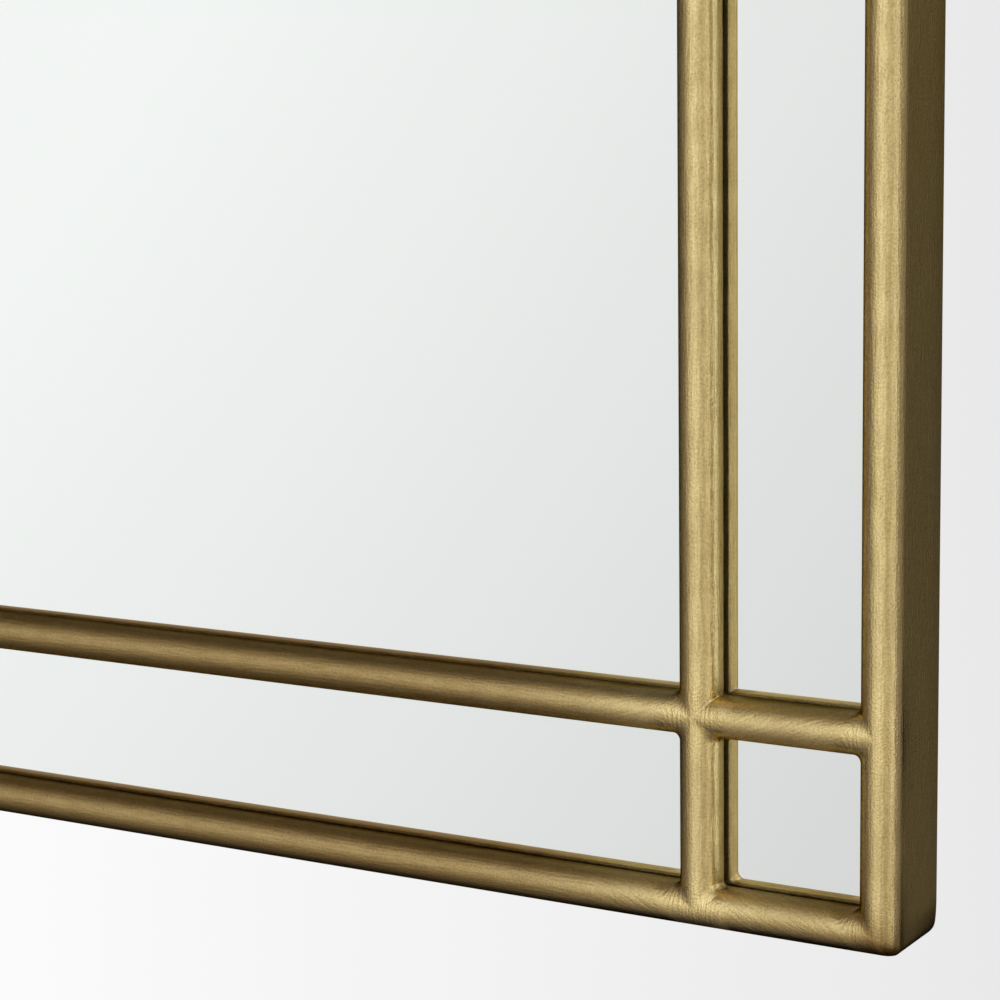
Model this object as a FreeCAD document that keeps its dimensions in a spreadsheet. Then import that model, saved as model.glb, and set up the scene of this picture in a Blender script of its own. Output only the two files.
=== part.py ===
import FreeCAD, Part
import math
import os
import Sketcher

# Arched wall mirror: a welded frame of half-round bars over one sheet of silvered glass.
# Millimetres. +X is to the right of someone who faces the mirror, +Y goes into the wall, +Z is up.
# The wall is the plane y = 0. The origin lies on it, midway between the two wall hooks.
# Sketches count heights from the underside of the bottom rail and depths from the wall.

SIZES = [
    ("frame_width", 762, "overall width, which is also the span of the half-circle arch"),
    ("frame_height", 1016, "overall height"),
    ("bar_width", 16, "width of every half-round bar"),
    ("bar_depth", 12.5, "front of a bar to its flat back"),
    ("border_pitch", 75, "centre of the outer bars to centre of the inner bars"),
    ("wall_thickness", 2.5, "side wall behind the outer bars"),
    ("corner_radius", 6, "rounding of the two lower corners"),
    ("arch_tail", 40, "straight tail of a rolled arch below its springing line"),
    ("glass_thickness", 4, "mirror glass"),
    ("foam_thickness", 2, "foam between glass and backing board"),
    ("board_thickness", 9, "backing board"),
    ("back_recess", 14.5, "backing board to the wall, the room for the hangers"),
    ("edge_gap", 1.5, "glass and board to the side wall"),
    ("foam_width", 20, "width of a foam strip"),
    ("foam_side", 97, "centre of the outermost foam strips to the edge of the glass"),
    ("foam_margin", 45, "ends of the strips to the rail and to the springing line"),
    ("tab_thickness", 1.5, "sheet of a retaining tab"),
    ("tab_width", 25, "retaining tab along the frame"),
    ("tab_reach", 24, "retaining tab over the board"),
    ("tab_flange", 10, "height of the tab's flange on the side wall"),
    ("tab_seat_gap", 0.1, "tab's flange to the side wall"),
    ("tab_hole_inset", 15, "tab's screw to its flange"),
    ("stile_tab_low", 170, "height of the lower tabs on the stiles"),
    ("stile_tab_drop", 107.5, "upper tabs on the stiles below the hanger plates"),
    ("rail_tab_offset", 190, "tabs on the bottom rail to the middle"),
    ("arch_tab_angle", 30, "first tab on the arch above the springing line, in degrees"),
    ("arch_tab_step_angle", 40, "between tabs on the arch, in degrees"),
    ("tab_screw_radius", 1.75, "shank of a tab screw"),
    ("tab_screw_length", 8, "tab screw below its head"),
    ("hanger_screw_radius", 2, "shank of a hanger screw"),
    ("hanger_screw_length", 6, "hanger screw below its head"),
    ("screw_head_radius", 3.5, "pan head"),
    ("screw_head_height", 2, "pan head"),
    ("screw_clearance", 0.05, "shank to its hole, on the radius"),
    ("hang_drop", 35, "springing line to the bearing line of the wall hooks"),
    ("hanger_inset", 20, "centre of a hanger to the side wall"),
    ("plate_thickness", 3, "hanger plate"),
    ("plate_setback", 7, "back of the hanger plate to the wall"),
    ("plate_rise", 7, "top of the hanger plate above the ring's pivot"),
    ("plate_margin", 10, "free edge of the hanger plate beside the strap"),
    ("plate_foot_margin", 9, "hanger plate below the strap"),
    ("plate_radius", 6, "rounding of the hanger plate's free corners"),
    ("strap_thickness", 1, "strip that the hanger strap is folded from"),
    ("strap_width", 12, "hanger strap"),
    ("strap_length", 36, "ring's pivot to the strap's end"),
    ("strap_fold_angle", 30, "how far the strip is wrapped below the pivot, in degrees"),
    ("strap_hole_top", 10, "ring's pivot to the upper screw"),
    ("strap_hole_margin", 8, "lower screw to the strap's end"),
    ("wire_radius", 1.5, "wire of the D-ring"),
    ("ring_bar", 16, "straight bar of the D-ring between its corner bends"),
    ("ring_bend", 4, "radius of the corner bends, at the wire's centre"),
    ("ring_side", 3, "straight side of the D-ring between bend and bow"),
    ("pivot_clearance", 0.05, "ring's bar to the folded strap, on the radius"),
    ("ring_rest_gap", 0.3, "hanging ring to the strap behind it"),
]

LAYOUT = [
    ("half_width", "Sizes.frame_width / 2"),
    ("half_bar", "Sizes.bar_width / 2"),
    ("board_back", "Sizes.back_recess"),
    ("foam_back", "board_back + Sizes.board_thickness"),
    ("glass_back", "foam_back + Sizes.foam_thickness"),
    ("ledge_depth", "glass_back + Sizes.glass_thickness"),
    ("frame_depth", "ledge_depth + Sizes.bar_depth"),
    ("crown_depth", "frame_depth - half_bar"),
    ("stile_centre", "half_width - half_bar"),
    ("upright_centre", "stile_centre - Sizes.border_pitch"),
    ("sill_height", "half_bar + Sizes.border_pitch"),
    ("spring_height", "Sizes.frame_height - half_width"),
    ("tail_foot", "spring_height - Sizes.arch_tail"),
    ("hang_height", "spring_height - Sizes.hang_drop"),
    ("wall_inside", "half_width - Sizes.wall_thickness"),
    ("pane_edge", "wall_inside - Sizes.edge_gap"),
    ("pane_foot", "Sizes.wall_thickness + Sizes.edge_gap"),
    ("corner_cut", "Sizes.corner_radius * (1 - sqrt(0.5))"),
    ("tab_back", "board_back - Sizes.tab_thickness"),
    ("flat_tab_seat", "wall_inside - Sizes.tab_seat_gap"),
    ("round_tab_seat", "sqrt(wall_inside ^ 2 - Sizes.tab_width ^ 2 / 4) - Sizes.tab_seat_gap"),
    ("rail_tab_seat", "Sizes.wall_thickness + Sizes.tab_seat_gap"),
    ("loop_radius", "Sizes.wire_radius + Sizes.pivot_clearance + Sizes.strap_thickness"),
    ("strap_stack", "2 * Sizes.strap_thickness"),
    ("fold_rise", "loop_radius * (1 + cos(Sizes.strap_fold_angle)) - strap_stack"),
    ("fold_end", "loop_radius * sin(Sizes.strap_fold_angle) + fold_rise / tan(Sizes.strap_fold_angle)"),
    ("bow_radius", "Sizes.ring_bar / 2 + Sizes.ring_bend"),
    ("bow_drop", "Sizes.ring_bend + Sizes.ring_side"),
    ("ring_reach", "bow_drop + bow_radius"),
    ("ring_tilt", "asin((strap_stack + Sizes.ring_rest_gap + Sizes.wire_radius - loop_radius) / ring_reach)"),
    ("pivot_depth", "Sizes.plate_setback - loop_radius"),
    ("pivot_height", "hang_height - ring_reach + Sizes.wire_radius"),
    ("hanger_centre", "wall_inside - Sizes.hanger_inset"),
    ("plate_top", "pivot_height + Sizes.plate_rise"),
    ("plate_foot", "pivot_height - Sizes.strap_length - Sizes.plate_foot_margin"),
    ("plate_end", "hanger_centre - Sizes.strap_width / 2 - Sizes.plate_margin"),
    ("stile_tab_high", "plate_foot - Sizes.stile_tab_drop"),
    ("strap_back", "Sizes.plate_setback - strap_stack"),
    ("screw_high", "pivot_height - Sizes.strap_hole_top"),
    ("screw_low", "pivot_height - Sizes.strap_length + Sizes.strap_hole_margin"),
]

FOAM_STRIPS_PER_SIDE = 2
ARCH_TABS = 4
UP, DOWN, LEFT, RIGHT = (0, 1), (0, -1), (-1, 0), (1, 0)
OTHER_TURN = {"left": "right", "right": "left"}

doc = FreeCAD.newDocument("arched_mirror")


def fill_sheet(label, rows):
    """A sheet with one named cell in each row."""
    sheet = doc.addObject("Spreadsheet::Sheet", label)
    for number, (name, text, note) in enumerate(rows, start=1):
        sheet.set(f"A{number}", name)
        sheet.set(f"B{number}", text)
        sheet.setAlias(f"B{number}", name)
        sheet.set(f"C{number}", note)
        doc.recompute()
    return sheet


def new_body(name):
    """A body whose sketches stand on the underside of the bottom rail."""
    body = doc.addObject("PartDesign::Body", name)
    body.Label = name
    body.setExpression("Placement.Base.z", "-Layout.hang_height")
    return body


def origin_plane(body, role):
    return next(feature for feature in body.Origin.OriginFeatures if feature.Role == role)


def new_sketch(body, role, offset="0"):
    """A sketch on one of the body's own planes, moved along that plane's normal."""
    sketch = body.newObject("Sketcher::SketchObject", f"{body.Name}_sketch")
    sketch.AttachmentSupport = [(origin_plane(body, role), "")]
    sketch.MapMode = "FlatFace"
    sketch.setExpression("AttachmentOffset.Base.z", offset)
    return sketch


def fix(sketch, geometry, point, axis, text):
    """Hold one coordinate of a sketch point at the value of an expression."""
    value = float(sketch.evalExpression(text))
    if abs(value) < 1e-9:
        line = -2 if axis == "X" else -1
        sketch.addConstraint(Sketcher.Constraint("PointOnObject", geometry, point, line))
        return
    number = sketch.addConstraint(Sketcher.Constraint(f"Distance{axis}", -1, 1, geometry, point, value))
    sketch.setExpression(f"Constraints[{number}]", text)


def sketch_point(sketch, x, y):
    """Where two expressions put a point at present."""
    return FreeCAD.Vector(float(sketch.evalExpression(x)), float(sketch.evalExpression(y)), 0)


def draw_outline(sketch, corners):
    """A closed outline. A corner with a third item starts an arc: its centre and its turn."""
    at = [sketch_point(sketch, *corner[:2]) for corner in corners]
    edges = []
    for index, corner in enumerate(corners):
        first = at[index]
        last = at[(index + 1) % len(at)]
        if len(corner) == 2:
            edges.append((sketch.addGeometry(Part.LineSegment(first, last)), 1, 2))
            continue
        centre_x, centre_y, turn = corner[2]
        centre = sketch_point(sketch, centre_x, centre_y)
        start, end = (first, last) if turn == "left" else (last, first)
        circle = Part.Circle(centre, FreeCAD.Vector(0, 0, 1), centre.distanceToPoint(first))
        angles = [math.atan2(point.y - centre.y, point.x - centre.x) for point in (start, end)]
        edge = sketch.addGeometry(Part.ArcOfCircle(circle, *angles))
        edges.append((edge, 1, 2) if turn == "left" else (edge, 2, 1))
    for index, (edge, _, tail) in enumerate(edges):
        following, head, _ = edges[(index + 1) % len(edges)]
        sketch.addConstraint(Sketcher.Constraint("Coincident", edge, tail, following, head))
    for index, corner in enumerate(corners):
        edge, head, _ = edges[index]
        fix(sketch, edge, head, "X", corner[0])
        fix(sketch, edge, head, "Y", corner[1])
        if len(corner) == 3:
            chord = at[(index + 1) % len(at)] - at[index]
            level = abs(chord.x) > abs(chord.y)
            fix(sketch, edge, 3, "Y" if level else "X", corner[2][1 if level else 0])


def draw_circle(sketch, x, y, radius):
    size = float(sketch.evalExpression(radius))
    circle = Part.Circle(sketch_point(sketch, x, y), FreeCAD.Vector(0, 0, 1), size)
    edge = sketch.addGeometry(circle)
    fix(sketch, edge, 3, "X", x)
    fix(sketch, edge, 3, "Y", y)
    number = sketch.addConstraint(Sketcher.Constraint("Radius", edge, size))
    sketch.setExpression(f"Constraints[{number}]", radius)


def pad(body, sketch, length, reverse=False, symmetric=False):
    feature = body.newObject("PartDesign::Pad", f"{body.Name}_pad")
    feature.Profile = sketch
    feature.setExpression("Length", length)
    feature.Reversed = reverse
    feature.SideType = "Symmetric" if symmetric else "One side"
    return feature


def cut_through(body, sketch):
    """Cut a sketched shape right through the body, both ways from the sketch."""
    feature = body.newObject("PartDesign::Pocket", f"{body.Name}_cut")
    feature.Profile = sketch
    feature.Type = "ThroughAll"
    feature.SideType = "Symmetric"
    return feature


def revolve(body, sketch, angle):
    """Turn a section about the sketch's upright axis."""
    feature = body.newObject("PartDesign::Revolution", f"{body.Name}_turn")
    feature.Profile = sketch
    feature.ReferenceAxis = (sketch, ["V_Axis"])
    feature.Angle = angle
    return feature


def draw_section(sketch, corners, upright):
    """A bar's section, drawn across and in depth. A level bar swaps the sketch's two axes."""
    if upright:
        draw_outline(sketch, corners)
        return
    swapped = []
    for across, depth, *arc in corners:
        turned = [(centre_depth, centre, OTHER_TURN[turn]) for centre, centre_depth, turn in arc]
        swapped.append((depth, across, *turned))
    draw_outline(sketch, swapped)


def inner_section(sketch, centre, upright=True):
    """Half-round crown on two short flanks, with a flat back that lies on the glass."""
    low = f"{centre} - Layout.half_bar"
    high = f"{centre} + Layout.half_bar"
    crown = (centre, "-Layout.crown_depth", "right")
    corners = [
        (low, "-Layout.ledge_depth"),
        (high, "-Layout.ledge_depth"),
        (high, "-Layout.crown_depth", crown),
        (low, "-Layout.crown_depth"),
    ]
    draw_section(sketch, corners, upright)


def stile_section(sketch):
    """The same crown, with a side wall behind its outer edge that reaches the wall."""
    inner = "Layout.half_width - Sizes.bar_width"
    crown = ("Layout.stile_centre", "-Layout.crown_depth", "right")
    corners = [
        (inner, "-Layout.ledge_depth"),
        ("Layout.wall_inside", "-Layout.ledge_depth"),
        ("Layout.wall_inside", "0"),
        ("Layout.half_width", "0"),
        ("Layout.half_width", "-Layout.crown_depth", crown),
        (inner, "-Layout.crown_depth"),
    ]
    draw_section(sketch, corners, upright=True)


def rail_section(sketch):
    """The stile's section laid level, with its side wall along the bottom."""
    crown = ("Layout.half_bar", "-Layout.crown_depth", "left")
    corners = [
        ("Sizes.bar_width", "-Layout.ledge_depth"),
        ("Sizes.wall_thickness", "-Layout.ledge_depth"),
        ("Sizes.wall_thickness", "0"),
        ("0", "0"),
        ("0", "-Layout.crown_depth", crown),
        ("Sizes.bar_width", "-Layout.crown_depth"),
    ]
    draw_section(sketch, corners, upright=False)


def plan(tip, heading, along, across):
    """A point of the front view, counted along and across a heading from a tip."""
    x = f"{tip[0]} + {heading[0]} * ({along}) - {heading[1]} * ({across})"
    z = f"{tip[1]} + {heading[1]} * ({along}) + {heading[0]} * ({across})"
    return x, z


def point_cut(sketch, tip, heading):
    """What a bar loses to end in a right-angled point that heads away from the tip."""
    reach = "Sizes.bar_width"
    back = f"-{reach}"
    steps = [("0", "0"), (reach, reach), (back, reach), (back, back), (reach, back)]
    draw_outline(sketch, [plan(tip, heading, *step) for step in steps])


def notch_cut(sketch, tip, heading):
    """The notch that takes such a point, down to the middle of the bar."""
    reach = "Sizes.bar_width"
    steps = [("0", "0"), (reach, reach), (reach, f"-{reach}")]
    draw_outline(sketch, [plan(tip, heading, *step) for step in steps])


def mitre_cut(sketch, side, keep_stile):
    """The mitre of a lower corner, with the corner's rounding on the piece that is kept."""
    edge = f"{side} * Layout.half_width"
    inward = -side
    past = "Sizes.bar_width"
    inner = (f"{edge} + {inward} * 2 * {past}", f"2 * {past}")
    meet = (f"{edge} + {inward} * Layout.corner_cut", "Layout.corner_cut")
    arc_centre = (f"{edge} + {inward} * Sizes.corner_radius", "Sizes.corner_radius")
    if keep_stile:
        turn = "left" if side > 0 else "right"
        rounding = [(*meet, (*arc_centre, turn)), (edge, "Sizes.corner_radius")]
        outside = [
            (f"{edge} + {side} * {past}", "Sizes.corner_radius"),
            (f"{edge} + {side} * {past}", f"-{past}"),
            (f"{edge} + {inward} * 2 * {past}", f"-{past}"),
        ]
    else:
        turn = "right" if side > 0 else "left"
        rounding = [(*meet, (*arc_centre, turn)), (arc_centre[0], "0")]
        outside = [
            (arc_centre[0], f"-{past}"),
            (f"{edge} + {side} * {past}", f"-{past}"),
            (f"{edge} + {side} * {past}", f"2 * {past}"),
        ]
    draw_outline(sketch, [inner, *rounding, *outside])


def right_stile():
    body = new_body("right_stile")
    section = new_sketch(body, "XY_Plane")
    stile_section(section)
    pad(body, section, "Layout.tail_foot")
    cuts = new_sketch(body, "XZ_Plane")
    mitre_cut(cuts, 1, True)
    notch_cut(cuts, ("Layout.stile_centre", "Layout.sill_height"), LEFT)
    cut_through(body, cuts)
    return body


def bottom_rail():
    body = new_body("bottom_rail")
    section = new_sketch(body, "YZ_Plane")
    rail_section(section)
    pad(body, section, "Sizes.frame_width", symmetric=True)
    cuts = new_sketch(body, "XZ_Plane")
    for side in (1, -1):
        mitre_cut(cuts, side, False)
        notch_cut(cuts, (f"{side} * Layout.upright_centre", "Layout.half_bar"), UP)
    cut_through(body, cuts)
    return body


def arch(name, draw, radius, crown_notch, side_notch):
    """A rolled arch with two straight tails, notched for the crown stub and the spring stubs."""
    body = new_body(name)
    section = new_sketch(body, "XY_Plane", "Layout.spring_height")
    draw(section)
    turn = revolve(body, section, 180)
    turn.Reversed = True
    tail = pad(body, section, "Sizes.arch_tail", reverse=True)
    other_tail = body.newObject("PartDesign::Mirrored", f"{name}_mirrored")
    other_tail.Originals = [tail]
    other_tail.MirrorPlane = (origin_plane(body, "YZ_Plane"), [""])
    body.Tip = other_tail
    cuts = new_sketch(body, "XZ_Plane")
    notch_cut(cuts, ("0", f"Layout.spring_height + {radius}"), crown_notch)
    for side in (1, -1):
        heading = (side * side_notch[0], 0)
        notch_cut(cuts, (f"{side} * {radius}", "Layout.spring_height"), heading)
    cut_through(body, cuts)
    return body


def right_upright():
    body = new_body("right_upright")
    section = new_sketch(body, "XY_Plane", "Layout.sill_height")
    inner_section(section, "Layout.upright_centre")
    pad(body, section, "Layout.tail_foot - Layout.sill_height")
    cuts = new_sketch(body, "XZ_Plane")
    point_cut(cuts, ("Layout.upright_centre", "Layout.sill_height"), UP)
    cut_through(body, cuts)
    return body


def upright_stub(name, x, foot):
    """A short upright stick with a point at each end."""
    body = new_body(name)
    section = new_sketch(body, "XY_Plane", foot)
    inner_section(section, x)
    pad(body, section, "Sizes.border_pitch")
    cuts = new_sketch(body, "XZ_Plane")
    point_cut(cuts, (x, foot), UP)
    point_cut(cuts, (x, f"{foot} + Sizes.border_pitch"), DOWN)
    cut_through(body, cuts)
    return body


def level_bar(name, start, length, z):
    """A level stick with a point at each end."""
    body = new_body(name)
    section = new_sketch(body, "YZ_Plane", start)
    inner_section(section, z, upright=False)
    pad(body, section, length)
    cuts = new_sketch(body, "XZ_Plane")
    point_cut(cuts, (start, z), RIGHT)
    point_cut(cuts, (f"{start} + {length}", z), LEFT)
    cut_through(body, cuts)
    return body


def arched_sheet(name, front, thickness):
    """A sheet with the frame's outline, between the side walls."""
    body = new_body(name)
    outline = new_sketch(body, "XZ_Plane", front)
    crown = ("0", "Layout.spring_height", "left")
    corners = [
        ("-Layout.pane_edge", "Layout.pane_foot"),
        ("Layout.pane_edge", "Layout.pane_foot"),
        ("Layout.pane_edge", "Layout.spring_height", crown),
        ("-Layout.pane_edge", "Layout.spring_height"),
    ]
    draw_outline(outline, corners)
    pad(body, outline, thickness, reverse=True)
    return body


def tab_stations():
    """Where the tabs sit: the outward angle, a point on the frame's centre lines and the seat's distance."""
    for height in ("Sizes.stile_tab_low", "Layout.stile_tab_high"):
        yield "0", "0", height, "Layout.flat_tab_seat"
        yield "180", "0", height, "Layout.flat_tab_seat"
    for side in (1, -1):
        yield "270", f"{side} * Sizes.rail_tab_offset", "0", "-Layout.rail_tab_seat"
    for number in range(ARCH_TABS):
        angle = f"(Sizes.arch_tab_angle + {number} * Sizes.arch_tab_step_angle)"
        yield angle, "0", "Layout.spring_height", "Layout.round_tab_seat"


def station_point(station, inset):
    """A point of the front view, set in from a tab's seat."""
    angle, x, z, seat = station
    x_text = f"{x} + ({seat} - {inset}) * cos({angle})"
    z_text = f"{z} + ({seat} - {inset}) * sin({angle})"
    return x_text, z_text


def backing_board():
    """The board behind the glass, with a pilot hole for each tab screw."""
    body = arched_sheet("backing_board", "Layout.foam_back", "Sizes.board_thickness")
    pilots = new_sketch(body, "XZ_Plane", "Layout.board_back")
    for station in tab_stations():
        x, z = station_point(station, "Sizes.tab_hole_inset")
        draw_circle(pilots, x, z, "Sizes.tab_screw_radius + Sizes.screw_clearance")
    holes = body.newObject("PartDesign::Pocket", "backing_board_pilots")
    holes.Profile = pilots
    holes.Reversed = True
    holes.setExpression("Length", "Sizes.tab_screw_length - Sizes.tab_thickness + Sizes.screw_clearance")
    return body


def foam_strips():
    """Upright strips of foam tape between the glass and the board."""
    body = new_body("foam_strip_master")
    outline = new_sketch(body, "XZ_Plane", "Layout.glass_back")
    half = "Sizes.foam_width / 2"
    foot = "Layout.pane_foot + Sizes.foam_margin"
    head = "Layout.spring_height - Sizes.foam_margin"
    draw_outline(outline, [(f"-{half}", foot), (half, foot), (half, head), (f"-{half}", head)])
    pad(body, outline, "Sizes.foam_thickness", reverse=True)
    reach = "(Layout.pane_edge - Sizes.foam_side)"
    places = []
    for number in range(-FOAM_STRIPS_PER_SIDE, FOAM_STRIPS_PER_SIDE + 1):
        places.append((f"{number} / {FOAM_STRIPS_PER_SIDE} * {reach}", "0", "0", "0"))
    return copies("foam_strips", body, places)


def copies(name, master, places):
    """One piece that groups equal solids. A place is x, y, z and a turn about the depth axis."""
    links = []
    for number, (x, y, z, angle) in enumerate(places, start=1):
        link = doc.addObject("App::Link", f"{name}_{number}")
        link.LinkedObject = master
        link.Placement.Rotation = FreeCAD.Rotation(FreeCAD.Vector(0, -1, 0), 1)
        link.setExpression("Placement.Base.x", x)
        link.setExpression("Placement.Base.y", y)
        link.setExpression("Placement.Base.z", z)
        link.setExpression("Placement.Rotation.Angle", angle)
        links.append(link)
    group = doc.addObject("Part::Compound", name)
    group.Links = links
    group.setExpression("Placement.Base.z", "-Layout.hang_height")
    return group


def retaining_tabs():
    """Folded tabs: a flange on the side wall and a leg over the board's back."""
    body = new_body("retaining_tab_master")
    fold = new_sketch(body, "XY_Plane")
    leg_end = "-Sizes.tab_reach"
    inner = "-Sizes.tab_thickness"
    corners = [
        ("0", "0"),
        ("0", "Sizes.tab_flange"),
        (inner, "Sizes.tab_flange"),
        (inner, "Sizes.tab_thickness"),
        (leg_end, "Sizes.tab_thickness"),
        (leg_end, "0"),
    ]
    draw_outline(fold, corners)
    pad(body, fold, "Sizes.tab_width", symmetric=True)
    hole = new_sketch(body, "XZ_Plane")
    draw_circle(hole, "-Sizes.tab_hole_inset", "0", "Sizes.tab_screw_radius + Sizes.screw_clearance")
    cut_through(body, hole)
    places = []
    for station in tab_stations():
        x, z = station_point(station, "0")
        places.append((x, "-Layout.board_back", z, station[0]))
    return copies("retaining_tabs", body, places)


def screw_master(name, radius, length):
    """A pan-head screw, with its head's seat at zero and its head towards the wall."""
    body = new_body(name)
    profile = new_sketch(body, "XY_Plane")
    rim = "Sizes.screw_head_radius - Sizes.screw_head_height"
    corners = [
        ("0", f"-{length}"),
        (radius, f"-{length}"),
        (radius, "0"),
        ("Sizes.screw_head_radius", "0", (rim, "0", "left")),
        (rim, "Sizes.screw_head_height"),
        ("0", "Sizes.screw_head_height"),
    ]
    draw_outline(profile, corners)
    revolve(body, profile, 360)
    return body


def tab_screws():
    master = screw_master("tab_screw_master", "Sizes.tab_screw_radius", "Sizes.tab_screw_length")
    places = []
    for station in tab_stations():
        x, z = station_point(station, "Sizes.tab_hole_inset")
        places.append((x, "-Layout.tab_back", z, "0"))
    return copies("tab_screws", master, places)


def hanger_screws():
    master = screw_master("hanger_screw_master", "Sizes.hanger_screw_radius", "Sizes.hanger_screw_length")
    places = []
    for side in (1, -1):
        for height in ("Layout.screw_high", "Layout.screw_low"):
            places.append((f"{side} * Layout.hanger_centre", "-Layout.strap_back", height, "0"))
    return copies("hanger_screws", master, places)


def right_hanger_plate():
    """A plate welded to the inside of the stile, parallel to the wall."""
    body = new_body("right_hanger_plate")
    outline = new_sketch(body, "XZ_Plane", "Sizes.plate_setback")
    turn = "Layout.plate_end + Sizes.plate_radius"
    high = "Layout.plate_top - Sizes.plate_radius"
    low = "Layout.plate_foot + Sizes.plate_radius"
    corners = [
        ("Layout.wall_inside", "Layout.plate_foot"),
        ("Layout.wall_inside", "Layout.plate_top"),
        (turn, "Layout.plate_top", (turn, high, "left")),
        ("Layout.plate_end", high),
        ("Layout.plate_end", low, (turn, low, "left")),
        (turn, "Layout.plate_foot"),
    ]
    draw_outline(outline, corners)
    hole = "Sizes.hanger_screw_radius + Sizes.screw_clearance"
    for height in ("Layout.screw_high", "Layout.screw_low"):
        draw_circle(outline, "Layout.hanger_centre", height, hole)
    pad(body, outline, "Sizes.plate_thickness")
    return body


def place_on_pivot(body):
    """Move a body whose origin is the ring's pivot to the right-hand hanger."""
    body.setExpression("Placement.Base.x", "Layout.hanger_centre")
    body.setExpression("Placement.Base.y", "-Layout.pivot_depth")
    body.setExpression("Placement.Base.z", "Layout.pivot_height - Layout.hang_height")


def right_hanger_strap():
    """A strip folded round the ring's bar, with both ends lying on the plate."""
    body = new_body("right_hanger_strap")
    place_on_pivot(body)
    fold = new_sketch(body, "YZ_Plane")
    outer = "-Layout.loop_radius + Layout.strap_stack"
    leave_y = "Layout.loop_radius * cos(Sizes.strap_fold_angle)"
    leave_z = "-Layout.loop_radius * sin(Sizes.strap_fold_angle)"
    corners = [
        ("-Layout.loop_radius", "0", ("0", "0", "right")),
        (leave_y, leave_z),
        (outer, "-Layout.fold_end"),
        (outer, "-Sizes.strap_length"),
        ("-Layout.loop_radius", "-Sizes.strap_length"),
    ]
    draw_outline(fold, corners)
    draw_circle(fold, "0", "0", "Sizes.wire_radius + Sizes.pivot_clearance")
    pad(body, fold, "Sizes.strap_width", symmetric=True)
    holes = new_sketch(body, "XZ_Plane")
    for drop in ("-Sizes.strap_hole_top", "Sizes.strap_hole_margin - Sizes.strap_length"):
        draw_circle(holes, "0", drop, "Sizes.hanger_screw_radius + Sizes.screw_clearance")
    cut_through(body, holes)
    return body


def right_d_ring():
    """A bent wire ring: a straight bar in the strap's fold and a half-circle bow below it."""
    body = new_body("right_d_ring")
    place_on_pivot(body)
    body.Placement.Rotation = FreeCAD.Rotation(FreeCAD.Vector(1, 0, 0), 1)
    body.setExpression("Placement.Rotation.Angle", "Layout.ring_tilt")
    path = new_sketch(body, "XZ_Plane")
    half = "Sizes.ring_bar / 2"
    corners = [
        ("0", "0"),
        (half, "0", (half, "-Sizes.ring_bend", "right")),
        ("Layout.bow_radius", "-Sizes.ring_bend"),
        ("Layout.bow_radius", "-Layout.bow_drop", ("0", "-Layout.bow_drop", "right")),
        ("-Layout.bow_radius", "-Layout.bow_drop"),
        ("-Layout.bow_radius", "-Sizes.ring_bend", (f"-{half}", "-Sizes.ring_bend", "right")),
        (f"-{half}", "0"),
    ]
    draw_outline(path, corners)
    wire = new_sketch(body, "YZ_Plane")
    draw_circle(wire, "0", "0", "Sizes.wire_radius")
    sweep = body.newObject("PartDesign::AdditivePipe", "right_d_ring_sweep")
    sweep.Profile = wire
    sweep.Spine = (path, [f"Edge{number}" for number in range(1, len(corners) + 1)])
    return body


def mirror_image(piece, name):
    """The left-hand twin of a right-hand piece."""
    twin = doc.addObject("Part::Mirroring", name)
    twin.Source = piece
    twin.Normal = FreeCAD.Vector(1, 0, 0)
    return twin


def build_parts():
    """Every piece of the mirror, from the outer frame inwards and then to the back."""
    outer_radius = "Layout.stile_centre"
    inner_radius = "Layout.upright_centre"
    paired = [
        right_stile(),
        right_upright(),
        upright_stub("right_foot_stub", inner_radius, "Layout.half_bar"),
        level_bar("right_side_stub", inner_radius, "Sizes.border_pitch", "Layout.sill_height"),
        level_bar("right_spring_stub", inner_radius, "Sizes.border_pitch", "Layout.spring_height"),
        right_hanger_plate(),
        right_hanger_strap(),
        right_d_ring(),
    ]
    twins = [mirror_image(piece, piece.Label.replace("right", "left", 1)) for piece in paired]
    single = [
        bottom_rail(),
        arch("outer_arch", stile_section, outer_radius, DOWN, LEFT),
        arch("inner_arch", lambda sketch: inner_section(sketch, inner_radius), inner_radius, UP, RIGHT),
        level_bar("inner_sill_bar", f"-{inner_radius}", f"2 * {inner_radius}", "Layout.sill_height"),
        upright_stub("crown_stub", "0", f"Layout.spring_height + {inner_radius}"),
        arched_sheet("mirror_pane", "Layout.ledge_depth", "Sizes.glass_thickness"),
        foam_strips(),
        backing_board(),
        retaining_tabs(),
        tab_screws(),
        hanger_screws(),
    ]
    return [*paired, *twins, *single]


def check(parts):
    """Stop if anything failed to build, before a file is written."""
    broken = [item.Name for item in doc.Objects if {"Invalid", "Error"} & set(item.State)]
    bad = [part.Label for part in parts if part.Shape.isNull() or not part.Shape.isValid()]
    if broken or bad:
        raise RuntimeError(f"failed features {broken}, bad shapes {bad}")


fill_sheet("Sizes", [(name, str(value), note) for name, value, note in SIZES])
fill_sheet("Layout", [(name, f"={text}", "worked out") for name, text in LAYOUT])
parts = build_parts()
doc.recompute()
check(parts)
os.makedirs("parts", exist_ok=True)
for part in parts:
    part.Shape.exportStep(f"parts/{part.Label}.step")
print(len(parts), "pieces written")
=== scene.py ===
"""Looks of the arched mirror: brushed brass bars, ground welds, silvered glass and fittings behind."""
import math

import bmesh
import bpy
import numpy as np
from mathutils import Matrix, Vector


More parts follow.
